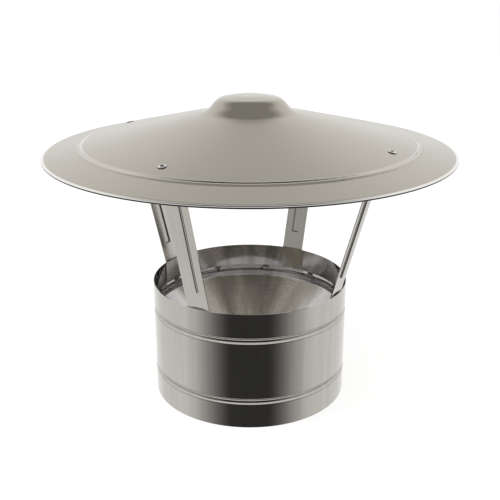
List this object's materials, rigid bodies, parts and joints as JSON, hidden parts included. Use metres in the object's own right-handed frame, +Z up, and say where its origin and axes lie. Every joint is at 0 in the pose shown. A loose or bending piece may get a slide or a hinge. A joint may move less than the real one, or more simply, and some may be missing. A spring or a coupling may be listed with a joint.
{
  "type": "chimney cap",
  "caption": "Conical rain hood on riveted sheet metal struts over a ribbed flue casing with a funnel to the liner socket.",
  "frame": {"origin": "centre of the casing's lower edge", "axes": "+Z up along the flue, struts on the X and Y axes"},
  "size_m": [0.403, 0.403, 0.3082],
  "materials": {
    "casing_steel": "bright annealed stainless sheet, rolled",
    "funnel_steel": "bright annealed stainless sheet",
    "hood_steel": "spun stainless sheet, satin",
    "strut_steel": "bright annealed stainless strip",
    "rivet_steel": "bright stainless",
    "mandrel_steel": "plain steel, broken end"
  },
  "bodies": {
    "root": {"casing": "casing_steel", "funnel": "funnel_steel", "spigot": "funnel_steel", "hood": "hood_steel", "strut_right": "strut_steel", "strut_back": "strut_steel", "strut_left": "strut_steel", "strut_front": "strut_steel", "rivet_right": "rivet_steel", "rivet_back": "rivet_steel", "rivet_left": "rivet_steel", "rivet_front": "rivet_steel", "mandrel_right": "mandrel_steel", "mandrel_back": "mandrel_steel", "mandrel_left": "mandrel_steel", "mandrel_front": "mandrel_steel"}
  },
  "joints": []
}
